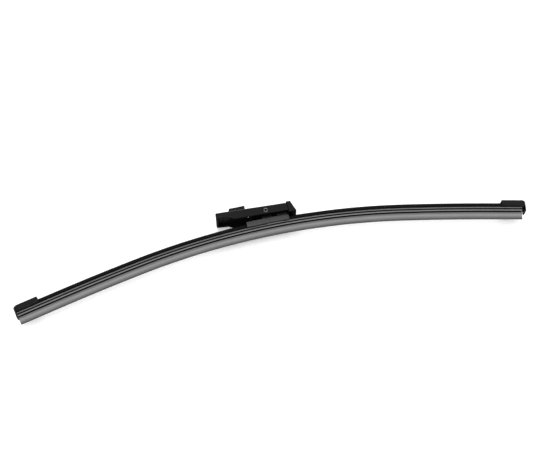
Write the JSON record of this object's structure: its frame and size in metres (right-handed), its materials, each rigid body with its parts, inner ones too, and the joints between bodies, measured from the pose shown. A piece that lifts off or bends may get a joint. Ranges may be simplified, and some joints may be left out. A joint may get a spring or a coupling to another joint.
{
  "type": "wiper blade",
  "caption": "Flat bowed windscreen wiper blade with a ribbed rubber, slim spoilers, hooded end caps and a tilting slide-on arm adapter with a sprung release tongue.",
  "frame": {"origin": "on the pivot axis of the arm adapter, midway between the blade's two flanks", "axes": "+X along the blade from heel to tip, +Y from the wiping lip towards the arm, +Z out of the upper flank, so that the blade lies on its lower flank as pictured"},
  "size_m": [0.3984, 0.058, 0.0204],
  "materials": {
    "wiping_rubber": "matt extruded rubber with a grey bloom",
    "strip_steel": "dark coated spring steel",
    "spoiler_plastic": "smooth black",
    "cap_plastic": "finely grained black",
    "base_metal": "dark grey coated casting",
    "rivet_steel": "plain steel",
    "adapter_plastic": "finely grained black"
  },
  "bodies": {
    "blade": {"wiper_rubber": "wiping_rubber", "front_spring_strip": "strip_steel", "rear_spring_strip": "strip_steel", "heel_spoiler": "spoiler_plastic", "tip_spoiler": "spoiler_plastic", "heel_end_cap": "cap_plastic", "tip_end_cap": "cap_plastic", "connector_base": "base_metal", "pivot_pin": "rivet_steel"},
    "adapter": {"arm_adapter": "adapter_plastic"},
    "tongue": {"release_tongue": "adapter_plastic"}
  },
  "joints": [
    {"name": "adapter_tilt", "type": "hinge", "parent": "blade", "child": "adapter", "pos_m": [0, 0, 0], "axis": [0, 0, 1], "range_deg": [-5.5, 11]},
    {"name": "tongue_press", "type": "hinge", "parent": "adapter", "child": "tongue", "pos_m": [-0.03281, 0.00448, 0], "axis": [0, 0, 1], "range_deg": [-11, 0], "stiffness_Nm_per_rad": 0.8}
  ]
}
